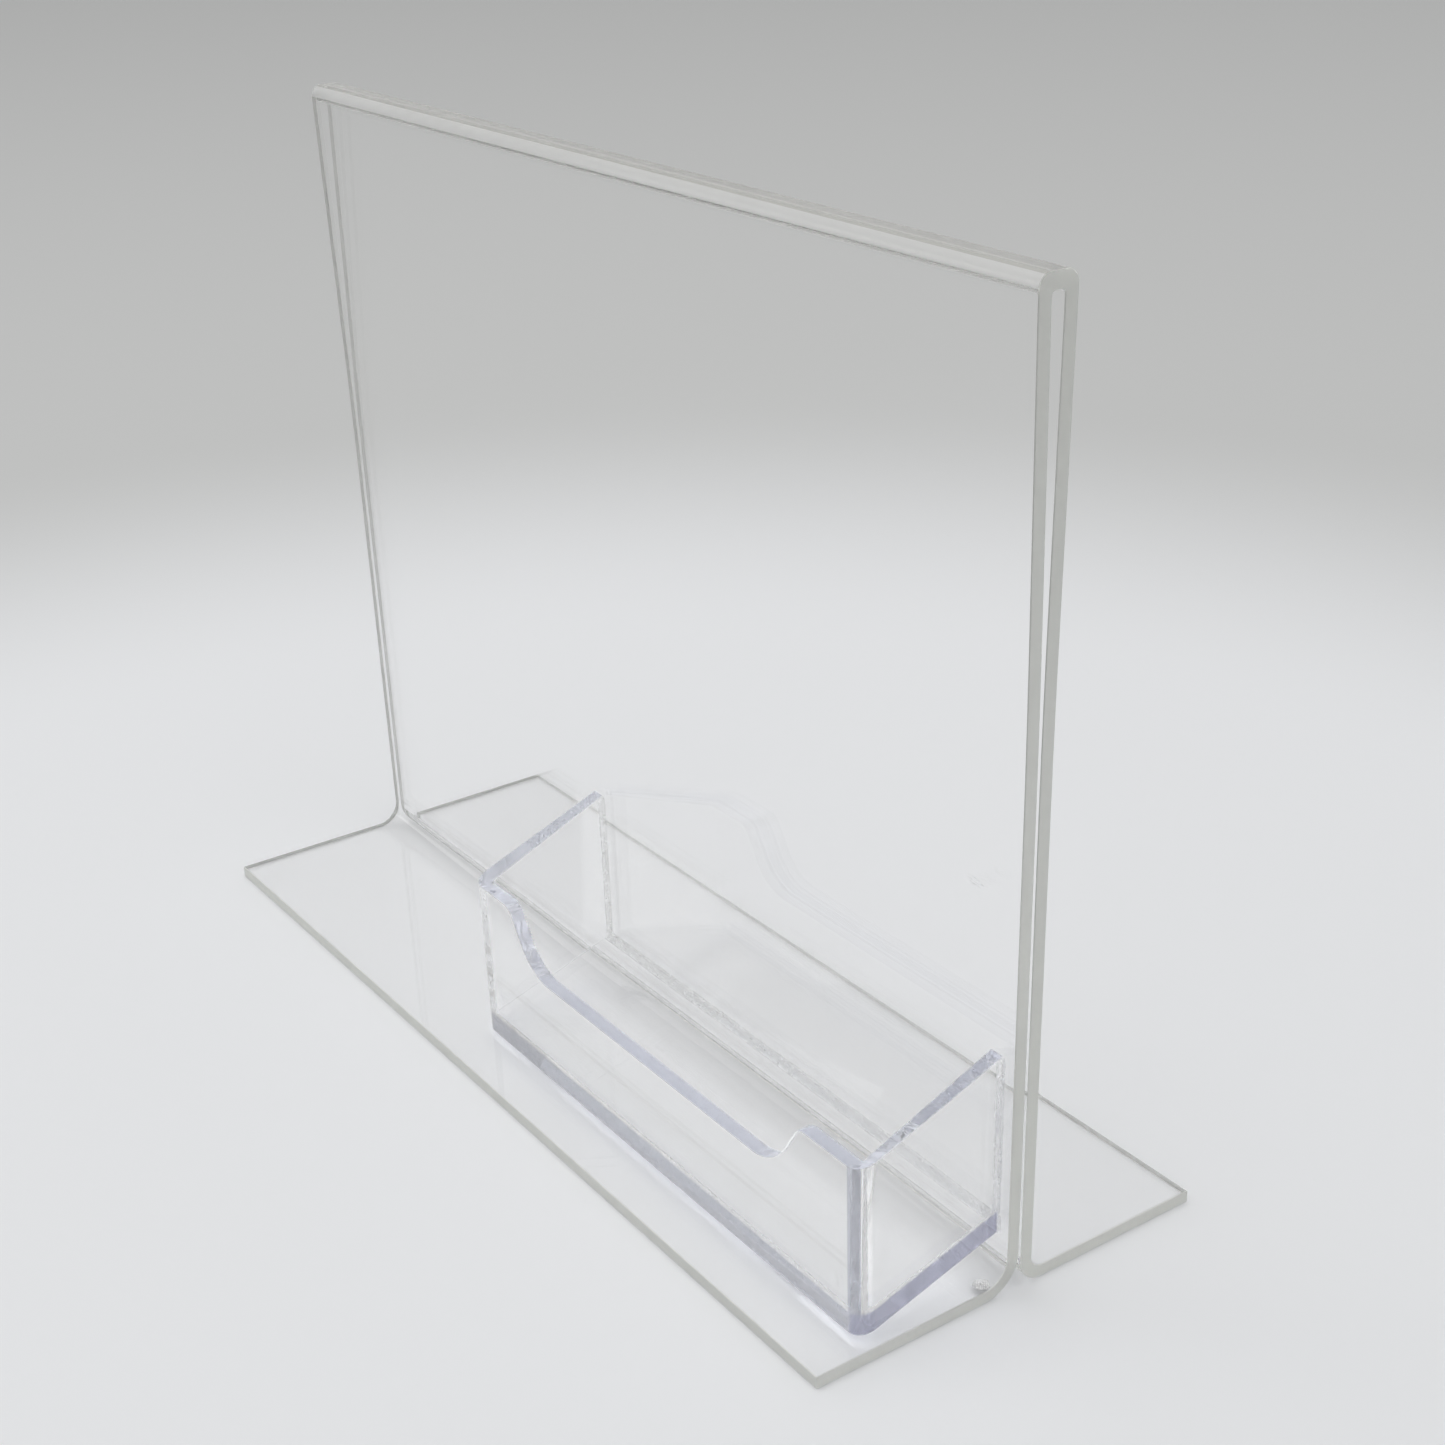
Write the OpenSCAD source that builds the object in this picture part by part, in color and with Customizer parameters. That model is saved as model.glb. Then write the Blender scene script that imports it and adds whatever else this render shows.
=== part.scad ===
// Folded acrylic sign stand with a business card pocket.
// One clear sheet is bent into an upside-down T: a front foot, a front leaf, a tight fold along
// the top, a rear leaf and a rear foot. A sign slides between the leaves from either side.
// A moulded clear pocket, which has no back wall, is cemented to the front leaf.
// X runs along the sign, -Y is the pocket's side, and Z = 0 is the surface the feet rest on.
// The origin is at the middle of the footprint.

/* [Sheet] */
// Width of the sheet, which is the width of the sign
sheet_width = 177.8; // [150:0.1:280]
// Height of the top of the fold above the table
stand_height = 137.5; // [110:0.5:220]
// Thickness of the sheet
sheet_thickness = 2; // [1.5:0.1:3]
// How far the front foot reaches from the plane midway between the leaves
front_foot_reach = 34.5; // [30:0.5:60]
// How far the rear foot reaches from the same plane
rear_foot_reach = 31.9; // [20:0.1:60]
// Inner radius of the bend above the front foot
front_bend_radius = 4; // [1:0.1:5]
// Inner radius of the bend above the rear foot
rear_bend_radius = 2; // [1:0.1:5]

/* [Sign slot] */
// Gap between the leaves low down, where they almost touch
slot_gap = 0.4; // [0.2:0.05:1]
// Height at which the leaves begin to part
parting_height = 72; // [40:1:90]
// Height over which each leaf curves away from the other
parting_length = 24; // [5:1:40]
// Angle at which each leaf leans out above that curve
leaf_lean = 0.85; // [0.5:0.05:2]
// Thickness of the sheet over the top of the slot
fold_thickness = 2.2; // [1.5:0.1:3]
// Outer radius of the top fold's two corners
fold_corner_radius = 1.9; // [0.5:0.1:2.5]
// Inner radius of the top fold's two corners
fold_inner_radius = 0.45; // [0.1:0.05:0.6]

/* [Card pocket] */
// Outer width of the pocket
pocket_width = 99.2; // [95:0.1:110]
// Distance from the pocket's right side to the sheet's right edge
pocket_inset = 2.1; // [0:0.1:30]
// Distance from the plane midway between the leaves to the pocket's front face
pocket_reach = 25.8; // [18:0.1:29]
// Thickness of the pocket's walls
pocket_wall = 2.3; // [1.2:0.1:2.5]
// Thickness of the pocket's floor, measured straight up
pocket_floor = 2.6; // [1.5:0.1:3.5]
// Height of the front wall above the foot
pocket_front_height = 26.8; // [20:0.1:40]
// How far the floor rises from front to back
floor_rise = 7.2; // [5:0.1:10]
// How far the side walls' top edges rise from front to back
side_rise = 8.6; // [0:0.1:12]
// Outer radius of the two upright front corners
pocket_corner_radius = 2.6; // [2:0.1:5]
// Inner radius of the two upright front corners
pocket_inner_radius = 0.6; // [0.3:0.1:3]

/* [Pocket's front cut-out] */
// Depth of the cut-out below the front wall's corners
cutout_depth = 9.4; // [7:0.1:14]
// Length of full-height wall left at each end, before the cut-out is shifted
cutout_land = 12.2; // [5:0.1:20]
// How far the cut-out sits left of the pocket's middle
cutout_shift = 1; // [0:0.1:3]
// Slope of the cut-out's two ends
cutout_slope = 58; // [35:1:80]
// Radius at the top of each end
cutout_top_radius = 2.6; // [1:0.1:5]
// Radius at the bottom of each end
cutout_bottom_radius = 8; // [2:0.5:10]

/* [Cement] */
// Thickness of the cement between the pocket and the leaf
cement_gap = 0.2; // [0.1:0.05:0.5]
// How far the cement squeezes out past the edge it holds
cement_squeeze = 0.45; // [0.1:0.05:1]
// Diameter of the drop of cement on the front foot
drop_diameter = 2.6; // [1:0.1:5]
// Distance from that drop to the sheet's right edge
drop_edge_gap = 0.2; // [0.1:0.1:20]
// Height of that drop above the foot
drop_height = 0.7; // [0.3:0.05:1]
// How far that drop has set up the bend
drop_climb = 2; // [0:0.1:2.5]

/* [Hidden] */
$fn = 96;
far = 300;
overrun = 2;

// The two leaves' middle plane, so that the footprint is centred on Y = 0
mid_y = (front_foot_reach - rear_foot_reach) / 2;
leaf_face = slot_gap / 2 + sheet_thickness;

// How far a leaf stands out at height z: its lean is gained evenly over parting_length, and
// ends a little below the fold, whose two ends are upright
curve_steps = 6;
curve_top = parting_height + parting_length;
lean_top = stand_height - 2 * sheet_thickness;
function lean_at(z) =
    let (s = min(max((z - parting_height) / parting_length, 0), 1))
    (s * s / 2 * parting_length + max(min(z, lean_top) - curve_top, 0)) * tan(leaf_lean);
lean_heights = [
    for (i = [0 : curve_steps]) parting_height + i * parting_length / curve_steps, lean_top
];

// Centres of the +Y foot bend and of the +Y corner at the top of the slot
function bend_centre(radius) = [leaf_face + radius, sheet_thickness + radius];
slot_top = stand_height - fold_thickness;
slot_half = slot_gap / 2 + lean_at(lean_top);
slot_corner = [slot_half - fold_inner_radius, slot_top - fold_inner_radius];
fold_half = leaf_face + lean_at(lean_top);

// The pocket in the sheet's frame
pocket_right = sheet_width / 2 - pocket_inset;
pocket_left = pocket_right - pocket_width;
pocket_middle = (pocket_left + pocket_right) / 2;
pocket_front = -pocket_reach;
pocket_back = -(leaf_face + cement_gap);
pocket_depth = pocket_back - pocket_front;
pocket_base = sheet_thickness;
pocket_top = pocket_base + pocket_front_height;
cutout_bottom = pocket_top - cutout_depth;

// Colours
acrylic = [0.88, 0.9, 0.9, 0.45];
styrene = [0.8, 0.82, 0.92, 0.5];
cement = [0.92, 0.92, 0.95, 0.8];

// The sliver between a corner and the arc that rounds it. The corner is at the origin and its
// two sides run out at the angles a and b.
module corner_sliver(a, b, radius) {
    half = (b - a) / 2;
    side = radius / tan(half);
    centre = radius / sin(half) * [cos(a + half), sin(a + half)];
    difference() {
        polygon([[0, 0], side * [cos(a), sin(a)], centre, side * [cos(b), sin(b)]]);
        translate(centre) circle(radius);
    }
}

// Points along an arc
function arc(centre, radius, from, to, steps = 12) = [
    for (i = [0 : steps])
        let (a = from + (to - from) * i / steps) centre + radius * [cos(a), sin(a)]
];

// The same points in the other order, and as seen in a mirror
function backwards(points) = [for (i = [len(points) - 1 : -1 : 0]) points[i]];
function mirrored(points) = [for (p = points) [-p[0], p[1]]];

// Turns a Y-Z outline into a bar along X from x0 to x1
module along_x(x0, x1) {
    translate([x0, 0, 0]) rotate([90, 0, 90]) linear_extrude(x1 - x0) children();
}

// The sheet's outer side from the middle of the bottom, round one foot and up its leaf, on +Y.
// The bend's inner corner runs through the bend's centre, where a circle is then cut out.
function outer_side(reach, radius) = let (bend = bend_centre(radius)) [
    [slot_gap / 2, 0], [reach, 0], [reach, sheet_thickness], [bend[0], sheet_thickness],
    bend, [leaf_face, bend[1]],
    for (z = lean_heights) [leaf_face + lean_at(z), z],
    [fold_half, stand_height]
];

// One wall of the slot, from its open bottom up to the middle of its closed top, on +Y
slot_side = [
    for (z = lean_heights) [slot_gap / 2 + lean_at(z), z],
    [slot_half, slot_corner[1]], slot_corner, [slot_corner[0], slot_top]
];

// Section of the bent sheet, rear foot on +Y and front foot on -Y
module sheet_outline() {
    difference() {
        polygon(concat(outer_side(rear_foot_reach, rear_bend_radius),
            backwards(mirrored(outer_side(front_foot_reach, front_bend_radius))),
            mirrored(slot_side), backwards(slot_side)));
        for (side = [0, 1]) mirror([side, 0]) {
            radius = side == 0 ? rear_bend_radius : front_bend_radius;
            translate(bend_centre(radius)) circle(radius);
            translate(slot_corner) circle(fold_inner_radius);
            translate([slot_gap / 2, 0])
                corner_sliver(0, 90, radius + sheet_thickness);
            translate([fold_half, stand_height])
                corner_sliver(180, 270, fold_corner_radius);
        }
    }
}

module folded_sheet() {
    color(acrylic) translate([0, mid_y, 0])
        along_x(-sheet_width / 2, sheet_width / 2) sheet_outline();
}

// Plan of the pocket, shrunk by inset on its front and sides, with rounded front corners
module pocket_plan(inset, radius, back) {
    left = pocket_left + inset;
    right = pocket_right - inset;
    front = pocket_front + inset;
    difference() {
        translate([left, front]) square([right - left, back - front]);
        translate([left, front]) corner_sliver(0, 90, radius);
        translate([right, front]) corner_sliver(90, 180, radius);
    }
}

// Y-Z outline between two sloping lines, given by their heights at the pocket's front and back
module side_outline(low, low_rise, high, high_rise) {
    polygon([[pocket_front, low], [pocket_back, low + low_rise],
        [pocket_back, high + high_rise], [pocket_front, high]]);
}

// Y-Z outline of the room above the floor, run past the pocket's back and top
module cavity_outline() {
    low = pocket_base + pocket_floor;
    slope = floor_rise / pocket_depth;
    polygon([[pocket_front, low], [pocket_back + overrun, low + slope * (pocket_depth + overrun)],
        [pocket_back + overrun, far], [pocket_front, far]]);
}

// The cut-out in the front wall, in X and Z, rounded at its bottom and flared at its top
module cutout_outline() {
    half_top = pocket_width / 2 - cutout_land;
    half_low = half_top - cutout_depth / tan(cutout_slope);
    low_x = half_low - cutout_bottom_radius * tan(cutout_slope / 2);
    top_x = half_top + cutout_top_radius * tan(cutout_slope / 2);
    right_end = concat(
        arc([low_x, cutout_bottom + cutout_bottom_radius], cutout_bottom_radius, -90, cutout_slope - 90),
        arc([top_x, pocket_top - cutout_top_radius], cutout_top_radius, 90 + cutout_slope, 90),
        [[top_x, pocket_top + overrun]]);
    polygon(concat(right_end, backwards(mirrored(right_end))));
}

module card_pocket() {
    color(styrene) translate([0, mid_y, 0]) difference() {
        intersection() {
            linear_extrude(far) pocket_plan(0, pocket_corner_radius, pocket_back);
            along_x(-far, far) side_outline(pocket_base, floor_rise, pocket_top, side_rise);
        }
        intersection() {
            linear_extrude(far) pocket_plan(pocket_wall, pocket_inner_radius, pocket_back + overrun);
            along_x(-far, far) cavity_outline();
        }
        translate([pocket_middle - cutout_shift, pocket_front + pocket_wall, 0]) rotate([90, 0, 0])
            linear_extrude(2 * pocket_wall) cutout_outline();
    }
}

// Cement behind one side wall, from above the floor's cement to just under the wall's top
module wall_cement(x0) {
    low = pocket_base + floor_rise + pocket_floor + cement_squeeze;
    high = pocket_top + side_rise - cement_squeeze;
    color(cement) translate([x0 - cement_squeeze, mid_y + pocket_back, low])
        cube([pocket_wall + 2 * cement_squeeze, cement_gap, high - low]);
}

module left_wall_cement() wall_cement(pocket_left);

module right_wall_cement() wall_cement(pocket_right - pocket_wall);

// Cement behind the floor's raised rear edge, over the pocket's whole width
module floor_cement() {
    low = pocket_base + floor_rise - cement_squeeze;
    color(cement) translate([pocket_left - cement_squeeze, mid_y + pocket_back, low])
        cube([pocket_width + 2 * cement_squeeze, cement_gap, pocket_floor + 2 * cement_squeeze]);
}

// A drop of cement that ran down the front bend by the sheet's right edge, and set there
module cement_drop() {
    drop_radius = drop_diameter / 2;
    drop_x = sheet_width / 2 - drop_edge_gap - drop_radius;
    drop_y = drop_climb - bend_centre(front_bend_radius)[0] - drop_radius;
    color(cement) translate([0, mid_y, 0]) difference() {
        translate([drop_x, drop_y, sheet_thickness]) cylinder(d = drop_diameter, h = drop_height);
        along_x(-sheet_width / 2, sheet_width / 2) sheet_outline();
    }
}

folded_sheet();
card_pocket();
left_wall_cement();
right_wall_cement();
floor_cement();
cement_drop();
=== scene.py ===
import math

import bmesh
import bpy
from mathutils import Matrix, Vector, noise


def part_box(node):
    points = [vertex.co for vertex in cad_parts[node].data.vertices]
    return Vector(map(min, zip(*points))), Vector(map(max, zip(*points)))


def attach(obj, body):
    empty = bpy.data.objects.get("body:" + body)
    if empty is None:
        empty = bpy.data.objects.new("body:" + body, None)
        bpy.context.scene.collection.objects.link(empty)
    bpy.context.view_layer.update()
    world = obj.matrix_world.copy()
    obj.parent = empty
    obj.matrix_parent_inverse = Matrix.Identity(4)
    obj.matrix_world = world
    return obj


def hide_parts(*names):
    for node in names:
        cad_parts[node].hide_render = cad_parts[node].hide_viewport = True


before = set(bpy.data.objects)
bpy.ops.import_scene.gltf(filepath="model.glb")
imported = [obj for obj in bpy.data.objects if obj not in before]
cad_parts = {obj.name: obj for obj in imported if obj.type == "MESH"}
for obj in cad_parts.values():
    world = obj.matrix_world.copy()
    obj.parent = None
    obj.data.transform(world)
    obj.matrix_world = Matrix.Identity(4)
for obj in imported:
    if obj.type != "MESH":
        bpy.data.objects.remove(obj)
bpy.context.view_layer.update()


# ------------------------------------------------------------------ the folded sheet
# One clear acrylic sheet, sawn to size and bent hot along three lines: two feet, two leaves that
# nearly touch low down, and a tight, slightly milky fold along the top. Its faces are polished. Its
# ends and the long edges of its feet are bare saw cuts with the sharp corners just taken off.
mm = 0.001
sheet_low, sheet_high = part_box("folded_sheet")
sheet_width = sheet_high.x - sheet_low.x
stand_height = sheet_high.z
sheet_thickness = 2 * mm
front_foot_reach = 34.5 * mm
leaf_plane = sheet_low.y + front_foot_reach
slot_gap = 0.4 * mm
leaf_face = slot_gap / 2 + sheet_thickness
leaf_front = leaf_plane - leaf_face
front_bend_radius = 4 * mm
rear_bend_radius = 2 * mm
parting_height = 72 * mm
parting_length = 24 * mm
leaf_lean = math.radians(0.85)
lean_top = stand_height - 2 * sheet_thickness
slot_top = stand_height - 2.2 * mm
fold_radius = 1.9 * mm
slot_radius = 0.45 * mm
sheet_arris = 0.12 * mm
# Points nearer than touching are one point, and a normal past squarely faces along an axis
touching = 0.001 * mm
squarely = 0.9


def portion(value, start, end):
    """How far a value has come from a start to an end, between 0 and 1."""
    return min(max((value - start) / (end - start), 0), 1)


def lean_at(height):
    """How far a leaf stands out at a height: it curves away evenly, then runs straight."""
    curved = portion(height, parting_height, parting_height + parting_length)
    straight = max(min(height, lean_top) - parting_height - parting_length, 0)
    return (curved ** 2 / 2 * parting_length + straight) * math.tan(leaf_lean)


lean_steps = 6
lean_heights = [parting_height + parting_length * i / lean_steps for i in range(lean_steps + 1)]
lean_heights.append(lean_top)


def half_outline(side, reach):
    """One half of the bent outline, from the slot's foot outwards and up, and back down the slot."""
    outside = [(slot_gap / 2, 0), (reach, 0), (reach, sheet_thickness), (leaf_face, sheet_thickness)]
    outside += [(leaf_face + lean_at(z), z) for z in lean_heights]
    outside.append((leaf_face + lean_at(lean_top), stand_height))
    slot = [(slot_gap / 2 + lean_at(z), z) for z in lean_heights]
    slot.append((slot_gap / 2 + lean_at(lean_top), slot_top))
    return [[(sheet_low.x, leaf_plane + side * y, z) for y, z in points] for points in (outside, slot)]


def round_corners(bm, corners, radius, segments):
    """Rounds the corners of a flat outline that lie at the given places."""
    found = [v for v in bm.verts if any((v.co - Vector(c)).length < touching for c in corners)]
    bmesh.ops.bevel(bm, geom=found, offset=radius, offset_type="OFFSET", affect="VERTICES",
                    segments=segments, profile=0.5, material=-1, clamp_overlap=False)


def points_of(parts):
    """Only the points among the parts that an operator made."""
    return [part for part in parts if isinstance(part, bmesh.types.BMVert)]


rear_outside, rear_slot = half_outline(1, sheet_high.y - leaf_plane)
front_outside, front_slot = half_outline(-1, front_foot_reach)
bm = bmesh.new()
outline = rear_outside + front_outside[::-1] + front_slot + rear_slot[::-1]
bm.faces.new([bm.verts.new(p) for p in outline])
for side, bend_radius in ((rear_outside, rear_bend_radius), (front_outside, front_bend_radius)):
    under_bend, over_bend = side[0], side[3]
    round_corners(bm, [under_bend], bend_radius + sheet_thickness, 20)
    round_corners(bm, [over_bend], bend_radius, 16)
round_corners(bm, [rear_outside[-1], front_outside[-1]], fold_radius, 16)
round_corners(bm, [rear_slot[-1], front_slot[-1]], slot_radius, 6)

# The outline is drawn out along the sheet, and cut across so that it can wander a little
cuts_across = 59
far_end = points_of(bmesh.ops.extrude_face_region(bm, geom=bm.faces[:])["geom"])
bmesh.ops.translate(bm, vec=(sheet_width, 0, 0), verts=far_end)
lengthwise = [e for e in bm.edges if abs(e.verts[0].co.x - e.verts[1].co.x) > sheet_width / 2]
bmesh.ops.subdivide_edges(bm, edges=lengthwise, cuts=cuts_across, use_grid_fill=True)
bmesh.ops.recalc_face_normals(bm, faces=bm.faces[:])
POLISHED, SAW_CUT, FOLD_TOP_SHADE, FOLD_FRONT = range(4)


def sheet_finish(face):
    """Which finish a face of the sheet has."""
    height = face.calc_center_median().z
    foot_edge = abs(face.normal.y) > squarely and height < sheet_thickness
    if abs(face.normal.x) > squarely or foot_edge:
        return SAW_CUT
    # The fold's top takes the darker copy of the fold's finish, which is painted shade
    if height > slot_top and face.normal.z > 0.05:
        return FOLD_FRONT if face.normal.y < -0.5 else FOLD_TOP_SHADE
    return POLISHED


for face in bm.faces:
    face.material_index = sheet_finish(face)
cut_corners = [e for e in bm.edges if len({f.material_index == SAW_CUT for f in e.link_faces}) == 2]
bmesh.ops.bevel(bm, geom=cut_corners, offset=sheet_arris, offset_type="OFFSET", affect="EDGES",
                segments=1, profile=0.5, material=SAW_CUT, clamp_overlap=False)

# The waves are counted to the metre, and the patterns only shift the noise that makes them
unevenness = 0.05 * mm
bow_waves = Vector((14, 0, 11))
lift_waves = Vector((17, 20, 0))
bow_pattern = Vector((0, 3.1, 0))
lift_pattern = Vector((0, 0, 8.4))


def bend_wander(point):
    """The small unevenness that hot bending leaves: the leaves bow and the feet lift slightly."""
    bow = noise.noise(point * bow_waves + bow_pattern)
    lift = 0.5 + 0.5 * noise.noise(point * lift_waves + lift_pattern)
    upright = portion(point.z, 4 * mm, 24 * mm)
    below_fold = portion(stand_height - point.z, 0, 8 * mm)
    flat = 1 - portion(point.z, 0, 6 * mm)
    return Vector((0, bow * upright * below_fold, lift * flat)) * unevenness


for vert in bm.verts:
    vert.co += bend_wander(vert.co)


def finish_piece(bm, name, finishes, sharp_angle, piece_slot, *nodes):
    """Makes the shape a piece of the object in place of its plain solids."""
    mesh = bpy.data.meshes.new(name)
    bm.to_mesh(mesh)
    bm.free()
    for finish in finishes:
        mesh.materials.append(finish)
    mesh.shade_smooth()
    mesh.set_sharp_from_angle(angle=math.radians(sharp_angle))
    piece = bpy.data.objects.new(name, mesh)
    bpy.context.scene.collection.objects.link(piece)
    flats = piece.modifiers.new("flat faces stay flat", "WEIGHTED_NORMAL")
    flats.keep_sharp = True
    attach(piece, "root")
    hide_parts(*nodes)


def clear_plastic(name, tint, index):
    """A clear plastic with its own tint and bending of light."""
    material = bpy.data.materials.new(name)
    material.use_nodes = True
    nodes, links = material.node_tree.nodes, material.node_tree.links
    plastic = nodes["Principled BSDF"]
    plastic.inputs["Base Color"].default_value = (*tint, 1)
    plastic.inputs["IOR"].default_value = index
    plastic.inputs["Transmission Weight"].default_value = 1
    return material, nodes, links, plastic


def grain(nodes, links, scale, detail=2.0, stretch=(1, 1, 1)):
    """A noise pattern in the object's own metres, stretched along any axis."""
    place = nodes.new("ShaderNodeTexCoord")
    turn = nodes.new("ShaderNodeMapping")
    turn.inputs["Scale"].default_value = stretch
    pattern = nodes.new("ShaderNodeTexNoise")
    pattern.inputs["Scale"].default_value = scale
    pattern.inputs["Detail"].default_value = detail
    links.new(place.outputs["Object"], turn.inputs["Vector"])
    links.new(turn.outputs["Vector"], pattern.inputs["Vector"])
    return pattern.outputs["Fac"]


def spread(nodes, links, value, low, high, start=0.3, end=0.7):
    """Turns a value that runs from start to end into one that runs from low to high."""
    ramp = nodes.new("ShaderNodeMapRange")
    ramp.inputs["From Min"].default_value = start
    ramp.inputs["From Max"].default_value = end
    ramp.inputs["To Min"].default_value = low
    ramp.inputs["To Max"].default_value = high
    links.new(value, ramp.inputs["Value"])
    return ramp.outputs["Result"]


def relief(nodes, links, shader, height, depth):
    """Presses a pattern into the surface."""
    bump = nodes.new("ShaderNodeBump")
    bump.inputs["Strength"].default_value = 1
    bump.inputs["Distance"].default_value = depth
    links.new(height, bump.inputs["Height"])
    links.new(bump.outputs["Normal"], shader.inputs["Normal"])


def combine(nodes, links, operation, first, second):
    """One value worked out from two."""
    maths = nodes.new("ShaderNodeMath")
    maths.operation = operation
    links.new(first, maths.inputs[0])
    links.new(second, maths.inputs[1])
    return maths.outputs["Value"]


def scuff_mark(nodes, links, centre, half_size):
    """How much of a small scuffed patch covers a point: 1 in its middle and 0 outside it."""
    place = nodes.new("ShaderNodeTexCoord")
    patch = nodes.new("ShaderNodeMapping")
    patch.vector_type = "TEXTURE"
    patch.inputs["Location"].default_value = centre
    patch.inputs["Scale"].default_value = half_size
    size = nodes.new("ShaderNodeVectorMath")
    size.operation = "LENGTH"
    links.new(place.outputs["Object"], patch.inputs["Vector"])
    links.new(patch.outputs["Vector"], size.inputs[0])
    return spread(nodes, links, size.outputs["Value"], low=1.0, high=0.0, start=0.4, end=1.0)


def scuffed(nodes, links, shader, patches, strokes, depth):
    """Scores short strokes into the surface inside a few small patches."""
    cover = scuff_mark(nodes, links, *patches[0])
    for patch in patches[1:]:
        cover = combine(nodes, links, "MAXIMUM", cover, scuff_mark(nodes, links, *patch))
    scores = grain(nodes, links, 1, stretch=strokes)
    relief(nodes, links, shader, combine(nodes, links, "MULTIPLY", cover, scores), depth)


acrylic_index = 1.49
untinted = (1.0, 1.0, 1.0)


def polished_acrylic():
    """Polished faces with the faint haze of handling, and one small scuff on the front leaf."""
    material, nodes, links, plastic = clear_plastic("polished_acrylic", untinted, acrylic_index)
    haze = grain(nodes, links, 35, detail=3)
    links.new(spread(nodes, links, haze, 0.0, 0.004), plastic.inputs["Roughness"])
    scuff_place = Vector((80.4 * mm, leaf_front, 60 * mm))
    leaf_scuff = (scuff_place, Vector((2.4, 0.6, 0.9)) * mm)
    scuffed(nodes, links, plastic, [leaf_scuff], (900, 900, 4500), 0.15 * mm)
    return material


def sawn_acrylic():
    """Saw-cut acrylic: a frosted, slightly warm grey band with fine marks across it."""
    saw_milk = 0.5
    material, nodes, links, plastic = clear_plastic("sawn_acrylic", (0.93, 0.94, 0.90), acrylic_index)
    plastic.inputs["Transmission Weight"].default_value = 1 - saw_milk
    marks = grain(nodes, links, 900, detail=3)
    links.new(spread(nodes, links, marks, 0.35, 0.6), plastic.inputs["Roughness"])
    relief(nodes, links, plastic, marks, 0.03 * mm)
    return material


def heated_acrylic(name, tint):
    """The fold: slightly milky, in two copies: the top one warm and tinted darker as painted shade,
    the front one untinted, which the lamps light to a white gleam.
    """
    fold_milk = 0.35
    material, nodes, links, plastic = clear_plastic(name, tint, acrylic_index)
    plastic.inputs["Transmission Weight"].default_value = 1 - fold_milk
    haze = grain(nodes, links, 60, detail=3)
    links.new(spread(nodes, links, haze, 0.12, 0.25), plastic.inputs["Roughness"])
    return material


# The fold's top is a darker copy of the heated finish, as painted shade
sheet_finishes = [polished_acrylic(), sawn_acrylic(),
                  heated_acrylic("heated_fold_top_painted_shade", (0.70, 0.70, 0.665)),
                  heated_acrylic("heated_fold_front", untinted)]
finish_piece(bm, "bent_sheet", sheet_finishes, 35, "clear_acrylic", "folded_sheet")


# ------------------------------------------------------------------ the card pocket
# A clear polystyrene moulding, cemented to the front leaf: a floor that rises to the back, a front
# wall with a dipped middle and two side walls whose tops slope. It has no back wall, so the leaf
# closes it. Its upright front corners are rounded, and the plastic is faintly blue.
pocket_low, pocket_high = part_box("card_pocket")
pocket_middle = (pocket_low.x + pocket_high.x) / 2
pocket_half = (pocket_high.x - pocket_low.x) / 2
pocket_depth = pocket_high.y - pocket_low.y
pocket_wall = 2.3 * mm
pocket_floor = 2.6 * mm
front_top = pocket_low.z + 26.8 * mm
floor_rise = 7.2 * mm
floor_slope = floor_rise / pocket_depth
side_rise = pocket_high.z - front_top
upright_radius = 2.6 * mm
inner_radius = 0.6 * mm
dip_bottom = front_top - 9.4 * mm
dip_half_top = pocket_half - 12.2 * mm
dip_middle = pocket_middle - 1 * mm
dip_slope = math.radians(58)
dip_half_low = dip_half_top - (front_top - dip_bottom) / math.tan(dip_slope)
dip_top_radius = 2.6 * mm
dip_low_radius = 8 * mm
# An upright edge is longer than tall, and a point is on a face when it is this close to it
tall = 20 * mm
close_to = 0.01 * mm


def on_front(x, z):
    """A point on the front wall's face."""
    return (x, pocket_low.y, z)


def floor_underside(y):
    """The height of the floor's sloping underside at a distance from front to back."""
    return pocket_low.z + floor_slope * (y - pocket_low.y)


bm = bmesh.new()
flare_corners = [on_front(dip_middle + s * dip_half_top, front_top) for s in (1, -1)]
dip_corners = [on_front(dip_middle + s * dip_half_low, dip_bottom) for s in (1, -1)]
front = [on_front(pocket_low.x, pocket_low.z), on_front(pocket_high.x, pocket_low.z),
         on_front(pocket_high.x, front_top), flare_corners[0], dip_corners[0],
         dip_corners[1], flare_corners[1], on_front(pocket_low.x, front_top)]
bm.faces.new([bm.verts.new(p) for p in front])
round_corners(bm, flare_corners, dip_top_radius * math.tan(dip_slope / 2), 10)
round_corners(bm, dip_corners, dip_low_radius * math.tan(dip_slope / 2), 14)

# The side walls are drawn back from the front wall's upright edges, and the floor fills between
uprights = [e for e in bm.edges if e.calc_length() > tall
            and abs(e.verts[0].co.x - e.verts[1].co.x) < touching]
for vert in points_of(bmesh.ops.extrude_edge_only(bm, edges=uprights)["geom"]):
    vert.co.y = pocket_high.y
    vert.co.z += floor_rise if vert.co.z < dip_bottom else side_rise
low_verts = [v for v in bm.verts if v.co.z <= floor_underside(v.co.y) + touching]
bmesh.ops.contextual_create(bm, geom=low_verts)
bmesh.ops.recalc_face_normals(bm, faces=bm.faces[:])
if min(bm.faces, key=lambda f: f.calc_center_median().y).normal.y > 0:
    bmesh.ops.reverse_faces(bm, faces=bm.faces[:])

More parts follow.
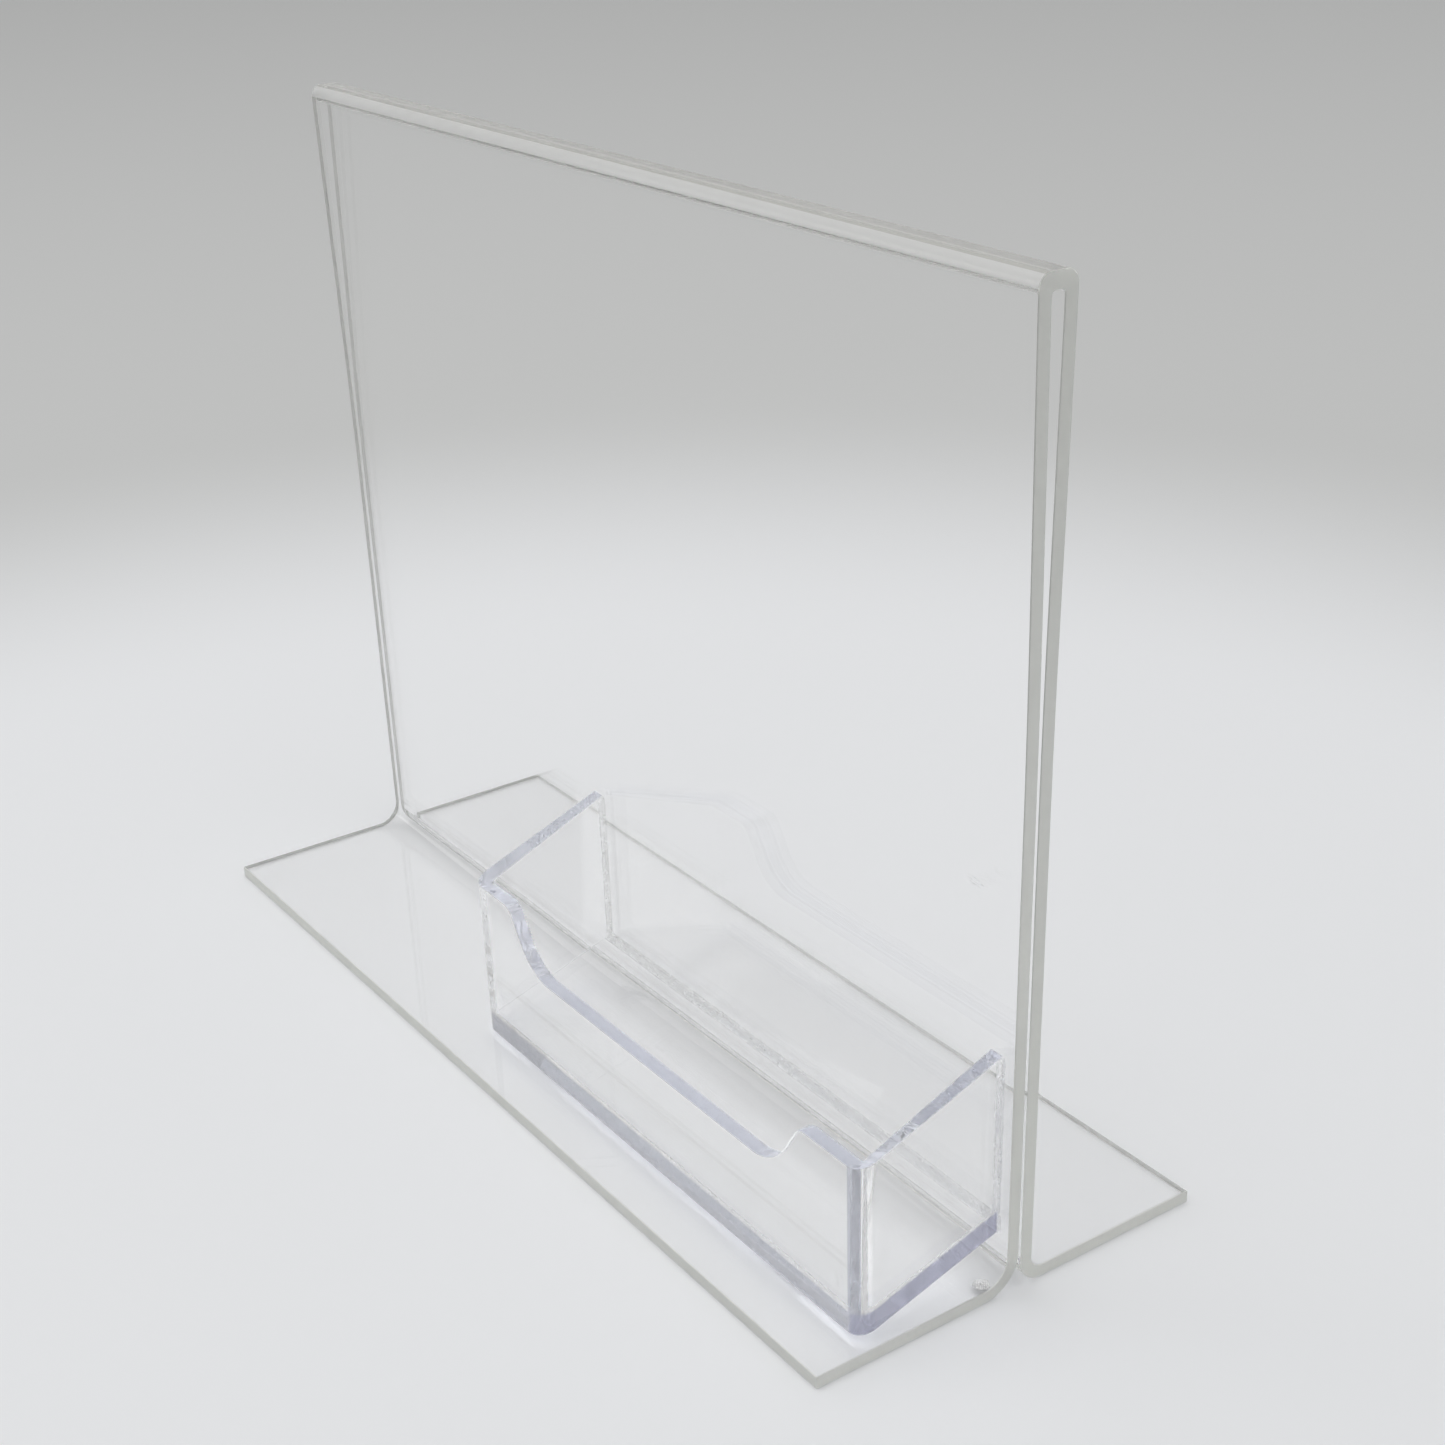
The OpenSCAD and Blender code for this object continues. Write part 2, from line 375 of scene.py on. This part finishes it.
# The skin becomes a wall. The floor's upper side is raised, because the floor is thicker than the
# walls, and the back, which is cut square to meet the leaf, is made flat again.
bmesh.ops.solidify(bm, geom=bm.faces[:], thickness=pocket_wall)
for vert in bm.verts:
    over_floor = vert.co.z - floor_underside(vert.co.y)
    if 1.5 * mm < over_floor < pocket_floor:
        vert.co.z += pocket_floor - over_floor
    if vert.co.y > pocket_high.y - pocket_wall:
        if over_floor < pocket_floor:
            vert.co.z += (pocket_high.y - vert.co.y) * floor_slope
        vert.co.y = pocket_high.y


def round_uprights(radius, segments, is_corner):
    """Rounds the upright edges that pass a test on one of their points."""
    corners = [e for e in bm.edges if abs(e.verts[0].co.z - e.verts[1].co.z) > tall
               and e.verts[0].co.y < pocket_low.y + 5 * mm and is_corner(e.verts[0].co)]
    bmesh.ops.bevel(bm, geom=corners, offset=radius, offset_type="OFFSET", affect="EDGES",
                    segments=segments, profile=0.5, material=-1, clamp_overlap=False)


round_uprights(upright_radius, 12, lambda p: p.y < pocket_low.y + touching)
round_uprights(inner_radius, 8, lambda p: p.y > pocket_low.y + pocket_wall - close_to
               and abs(p.x - pocket_middle) < pocket_half - pocket_wall + close_to)


def with_edges(faces):
    """Some faces with their edges and points, as a cut needs them."""
    edges = {e for f in faces for e in f.edges}
    points = {v for f in faces for v in f.verts}
    return faces + list(edges) + list(points)


# The floor's thick edge is scored off all round the outside, so that it can be given a darker band of
# painted shade. A normal that leans less than level along an axis doesn't face that way.
level = 0.1
band_height = pocket_floor + 0.85 * mm
outward_from = Vector((pocket_middle, pocket_high.y, 0))
skin = []
for face in bm.faces:
    outward = face.calc_center_bounds() - outward_from
    outward.z = 0
    if abs(face.normal.z) < level and face.normal.y < 0.5 and face.normal.dot(outward) > 0:
        skin.append(face)
bmesh.ops.bisect_plane(bm, geom=with_edges(skin), dist=0.1 * touching,
                       plane_no=Vector((0, -floor_slope, 1)).normalized(),
                       plane_co=(0, pocket_low.y, pocket_low.z + band_height))
FACE, LIP, BOND, BAND_SHADE, UPRIGHT_SHADE = range(5)


def pocket_finish(face):
    """Which finish a face of the moulding has; its dark band and upright tints are painted shade."""
    centre = face.calc_center_median()
    # The right wall's back end is tinted dark as painted shade
    if face.normal.y > squarely and centre.y > pocket_high.y - close_to:
        return UPRIGHT_SHADE if centre.x > pocket_high.x - pocket_wall else BOND
    is_upright = abs(face.normal.z) < level
    # Below the band's top, faces towards the right and the front get dark painted shade, and those
    # facing left stay clear
    if is_upright and centre.z < floor_underside(centre.y) + band_height:
        if face.normal.x > level:
            return BAND_SHADE
        return UPRIGHT_SHADE if face.normal.x > -level else FACE
    # Part of the rounded near corner is tinted dark as painted shade
    if is_upright and 0.05 < face.normal.x < 0.69 and centre.x > pocket_high.x - upright_radius:
        return UPRIGHT_SHADE
    if face.normal.z > 0.3 and centre.z > dip_bottom - 1 * mm:
        return LIP
    return FACE


for face in bm.faces:
    face.material_index = pocket_finish(face)
soft_edges = [e for e in bm.edges if e.is_manifold and e.calc_face_angle() > math.radians(30)]
bmesh.ops.bevel(bm, geom=soft_edges, offset=0.15 * mm, offset_type="OFFSET", affect="EDGES",
                segments=2, profile=0.5, material=-1, clamp_overlap=False)


def wear_lip(is_worn, axis, depth, size, pattern):
    """Cuts a lip across in short steps and wears it down unevenly, never past its moulded size."""
    def lip_faces():
        return [f for f in bm.faces if is_worn(f.calc_center_median()) and f.material_index == LIP]

    step = 0.4 * mm
    worn_share = 0.15
    reach = [v.co[axis] for f in lip_faces() for v in f.verts]
    place = min(reach) + step
    across = Vector((0, 0, 0))
    across[axis] = 1
    while place < max(reach):
        bmesh.ops.bisect_plane(bm, geom=with_edges(lip_faces()), dist=touching,
                               plane_co=across * place, plane_no=across)
        place += step
    bm.normal_update()
    for vert in {v for f in lip_faces() for v in f.verts}:
        dent = noise.noise(vert.co / size + Vector((pattern, 0, 0)))
        vert.co -= vert.normal * depth * max(dent + worn_share, 0)


def on_right_wall(point):
    """Whether a point is on the sloping top of the right side wall."""
    behind_corner = point.y > pocket_low.y + upright_radius
    return point.x > pocket_high.x - pocket_wall and behind_corner and point.z > front_top


def on_left_curve(point):
    """Whether a point is on the front wall's top, from its left end to the foot of the curve."""
    in_front = point.y < pocket_low.y + pocket_wall
    curve_foot = dip_middle - dip_half_low + 2 * mm
    return pocket_low.x + upright_radius < point.x < curve_foot and in_front


# The right side wall's top is rough, and the left curve of the dip is lumpy
wear_lip(on_right_wall, axis=1, depth=0.35 * mm, size=1.1 * mm, pattern=2.7)
wear_lip(on_left_curve, axis=0, depth=0.45 * mm, size=1.7 * mm, pattern=5.1)


def moulded_styrene(name, tint, smooth, rough, cover=1.0):
    """Moulded polystyrene: glossy, with the slight flow of the mould and three small scuffs."""
    styrene_index = 1.59
    material, nodes, links, plastic = clear_plastic(name, tint, styrene_index)
    plastic.inputs["Alpha"].default_value = cover
    flow = grain(nodes, links, 50)
    links.new(spread(nodes, links, flow, smooth, rough), plastic.inputs["Roughness"])
    gate_mark = (on_front(-5.3 * mm, 9.2 * mm), Vector((3.4, 0.6, 2.4)) * mm)
    speck = (on_front(81.5 * mm, 8.8 * mm), Vector((0.9, 0.6, 1.8)) * mm)
    corner_scratch = (Vector((85.5, -23.6, 10.5)) * mm, Vector((1.2, 1.2, 2.2)) * mm)
    scuffed(nodes, links, plastic, [gate_mark, speck, corner_scratch], (600, 600, 1800), 0.06 * mm)
    return material


# Seen along its length the plastic is faintly blue, so its lips are tinted; the floor's edge band and
# the dark upright strips are tinted faint blue and much darker, which is painted shade
pocket_finishes = [moulded_styrene("styrene_face", untinted, 0.0, 0.004),
                   moulded_styrene("styrene_lip", (0.77, 0.80, 0.94), 0.02, 0.08),
                   moulded_styrene("styrene_bond", untinted, 0.02, 0.08, cover=0.1),
                   moulded_styrene("styrene_floor_edge_painted_shade", (0.31, 0.32, 0.48), 0.04, 0.1),
                   moulded_styrene("styrene_upright_painted_shade", (0.45, 0.47, 0.55), 0.02, 0.08)]
finish_piece(bm, "moulded_pocket", pocket_finishes, 35, "clear_styrene", "card_pocket")


# ------------------------------------------------------------------ the cement lines
# Thin solvent cement behind both side walls and behind the floor's raised back edge. It was run in
# along the joint, so it squeezed out unevenly on both sides, and it set clear with small bubbles.
cement_squeeze = 0.45 * mm
cement_climb = 0.3 * mm
cement_rim = 0.06 * mm
cement_step = 0.6 * mm
tapered_end = 1 * mm


def set_cement(name, cover, milk):
    """Set cement, clear or milky, with a wrinkled skin and clouds of bubbles."""
    cement_index = 1.50
    material, nodes, links, plastic = clear_plastic(name, untinted, cement_index)
    plastic.inputs["Alpha"].default_value = cover
    plastic.inputs["Transmission Weight"].default_value = 1 - milk
    bubbles = grain(nodes, links, 1500, detail=3)
    links.new(spread(nodes, links, bubbles, 0.02, 0.35), plastic.inputs["Roughness"])
    relief(nodes, links, plastic, bubbles, 0.02 * mm)
    return material


line_cement = set_cement("line_cement", cover=0.3, milk=0.05)


def cement_line(name, node, run, backed, ripples, pattern):
    """A bead along the X (0) or Z (2) axis, behind an edge as thick as backed."""
    low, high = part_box(node)
    across = 2 - run
    middle = (low[across] + high[across]) / 2
    edge = backed / 2 + 0.02 * mm
    rim = edge + cement_squeeze
    half = [(rim, high.y), (rim, high.y - cement_rim), (edge, low.y - cement_climb), (edge, low.y)]
    bm = bmesh.new()
    corners = []
    for side, depth in half + [(-s, d) for s, d in half[::-1]]:
        place = Vector((0, depth, 0))
        place[run] = low[run]
        place[across] = middle + side
        corners.append(bm.verts.new(place))
    bm.faces.new(corners)
    far_end = points_of(bmesh.ops.extrude_face_region(bm, geom=bm.faces[:])["geom"])
    length = Vector((0, 0, 0))
    length[run] = high[run] - low[run]
    bmesh.ops.translate(bm, vec=length, verts=far_end)
    along = [e for e in bm.edges if abs(e.verts[0].co[run] - e.verts[1].co[run]) > 1 * mm]
    steps = round(length.length / cement_step)
    bmesh.ops.subdivide_edges(bm, edges=along, cuts=steps, use_grid_fill=True)
    for vert in bm.verts:
        side = vert.co[across] - middle
        hand = math.copysign(1, side)
        ripple = 0.5 + 0.5 * noise.noise(Vector((vert.co[run] * ripples, hand * 3.7, pattern)))
        from_end = min(vert.co[run] - low[run], high[run] - vert.co[run])
        ripple *= min(from_end / tapered_end + 0.15, 1)
        if abs(side) > edge + touching:
            vert.co[across] = middle + hand * (edge + cement_squeeze * (0.12 + 0.88 * ripple))
        elif vert.co.y < low.y - touching:
            vert.co.y = low.y - cement_climb * (0.1 + 0.9 * ripple)
    bmesh.ops.recalc_face_normals(bm, faces=bm.faces[:])
    finish_piece(bm, name, [line_cement], 50, "set_cement", node)


cement_line("left_cement_line", "left_wall_cement", 2, pocket_wall, 420, 1.5)
cement_line("right_cement_line", "right_wall_cement", 2, pocket_wall, 420, 6.5)
cement_line("floor_cement_line", "floor_cement", 0, pocket_floor, 90, 11.5)


# ------------------------------------------------------------------ the set drop
# A drop of the same cement that ran down the front bend and skinned over at its foot: a low, milky
# blob with a wrinkled, glassy top.
drop_low, drop_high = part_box("cement_drop")
drop_middle = (drop_low + drop_high) / 2
drop_lift = 0.01 * mm
bm = bmesh.new()
bmesh.ops.create_icosphere(bm, subdivisions=5, radius=0.5)
bmesh.ops.bisect_plane(bm, geom=bm.verts[:] + bm.edges[:] + bm.faces[:], dist=0.1 * touching,
                       plane_co=(0, 0, 0), plane_no=(0, 0, -1), clear_outer=True)
bmesh.ops.holes_fill(bm, edges=[e for e in bm.edges if e.is_boundary], sides=0)
for vert in bm.verts:
    turn = math.atan2(vert.co.y, vert.co.x)
    lobes = 0.86 + 0.1 * math.sin(2 * turn + 0.6) + 0.04 * math.sin(5 * turn)
    wrinkles = 0.55 + 1.3 * abs(noise.noise(Vector((vert.co.x * 5, vert.co.y * 7, 4.2))))
    vert.co *= Vector((lobes, lobes, wrinkles))
tallest = max(v.co.z for v in bm.verts)
bmesh.ops.scale(bm, vec=(drop_high.x - drop_low.x, drop_high.y - drop_low.y, 1 / tallest),
                verts=bm.verts[:])
bmesh.ops.translate(bm, vec=(drop_middle.x, drop_middle.y, 0), verts=bm.verts[:])

# Its underside follows the bend that it lies on
bend_start = leaf_front - front_bend_radius
for vert in bm.verts:
    up_bend = max(vert.co.y - bend_start, 0)
    bend_height = front_bend_radius - math.sqrt(front_bend_radius ** 2 - up_bend ** 2)
    underside = drop_low.z + bend_height + drop_lift
    vert.co.z = underside + vert.co.z * (drop_high.z - underside)
bmesh.ops.recalc_face_normals(bm, faces=bm.faces[:])
drop_cement = set_cement("drop_cement", cover=1.0, milk=0.55)
finish_piece(bm, "set_drop", [drop_cement], 60, "set_cement", "cement_drop")


# ------------------------------------------------------------------ the studio
# A plain pale card floor with a pool of light painted round the stand, a large soft lamp
# overhead, a small one at the front left, and the camera.
bpy.ops.mesh.primitive_plane_add(size=6)
floor = bpy.context.object
floor.name = "studio_floor"
card = bpy.data.materials.new("studio_card_painted_light_pool")
card.use_nodes = True
nodes, links = card.node_tree.nodes, card.node_tree.links
# Painted pool of light: the card's colour is lighter near the stand and darker further out
place = nodes.new("ShaderNodeTexCoord")
distance = nodes.new("ShaderNodeVectorMath")
distance.operation = "DISTANCE"
distance.inputs[1].default_value = (0.03, -0.035, 0)
links.new(place.outputs["Object"], distance.inputs[0])
painted_pool_falloff = spread(nodes, links, distance.outputs["Value"], low=0, high=1, start=0.21, end=0.4)
painted_pool_falloff.node.interpolation_type = "SMOOTHSTEP"
tone = nodes.new("ShaderNodeMix")
tone.data_type = "RGBA"
tone.inputs["A"].default_value = (0.84, 0.85, 0.865, 1)
tone.inputs["B"].default_value = (0.60, 0.605, 0.60, 1)
links.new(painted_pool_falloff, tone.inputs["Factor"])
links.new(tone.outputs["Result"], nodes["Principled BSDF"].inputs["Base Color"])
nodes["Principled BSDF"].inputs["Roughness"].default_value = 0.8
nodes["Principled BSDF"].inputs["Specular IOR Level"].default_value = 0.1
floor.data.materials.append(card)

# The air is a soft even tent, a little brighter overhead than at the horizon
world = bpy.data.worlds.new("studio_air")
world.use_nodes = True
world.cycles.sampling_method = "NONE"
nodes, links = world.node_tree.nodes, world.node_tree.links
direction = nodes.new("ShaderNodeTexCoord")
height = nodes.new("ShaderNodeSeparateXYZ")
links.new(direction.outputs["Generated"], height.inputs["Vector"])
brightness = spread(nodes, links, height.outputs["Z"], low=0.52, high=0.66, start=0, end=1)
links.new(brightness, nodes["Background"].inputs["Color"])
bpy.context.scene.world = world


def aimed(place, aim):
    """A placing that points a lamp from one place at another."""
    direction = Vector(aim) - Vector(place)
    return Matrix.Translation(place) @ direction.to_track_quat("-Z", "Y").to_matrix().to_4x4()


def softbox(name, place, aim, size, watts):
    """A square diffuser lamp that points at a place."""
    lamp = bpy.data.lights.new(name, "AREA")
    lamp.size = size
    lamp.energy = watts
    box = bpy.data.objects.new(name, lamp)
    box.matrix_world = aimed(place, aim)
    bpy.context.scene.collection.objects.link(box)


softbox("overhead_softbox", place=(-0.05, -0.1, 1.4), aim=(0, 0, 0), size=1.0, watts=6)
softbox("front_left_softbox", place=(-1.0, -0.85, 0.5), aim=(0, 0, 0.1), size=0.5, watts=0.8)

camera_place = Vector((0.26655, -0.16443, 0.19426))
camera_azimuth = math.radians(56.29)
camera_elevation = math.radians(28.59)
camera_roll = math.radians(-2.14)
camera = bpy.data.cameras.new("studio_camera")
camera.sensor_width = 36
camera.lens = 55.37
camera.shift_x = 0.00446
camera.shift_y = 0.11545
camera.clip_start = 0.01
viewpoint = bpy.data.objects.new("studio_camera", camera)
viewpoint.matrix_world = (Matrix.Translation(camera_place)
                          @ Matrix.Rotation(camera_azimuth, 4, "Z")
                          @ Matrix.Rotation(math.pi / 2 - camera_elevation, 4, "X")
                          @ Matrix.Rotation(camera_roll, 4, "Z"))
bpy.context.scene.collection.objects.link(viewpoint)

# Clear plastic seen edge on needs light to be followed through many surfaces
light_passes = 64
scene = bpy.context.scene
scene.camera = viewpoint
scene.view_settings.view_transform = "Standard"
scene.cycles.max_bounces = light_passes
scene.cycles.glossy_bounces = light_passes
scene.cycles.transmission_bounces = light_passes
scene.cycles.transparent_max_bounces = light_passes
scene.cycles.blur_glossy = 0
scene.cycles.diffuse_bounces = 2
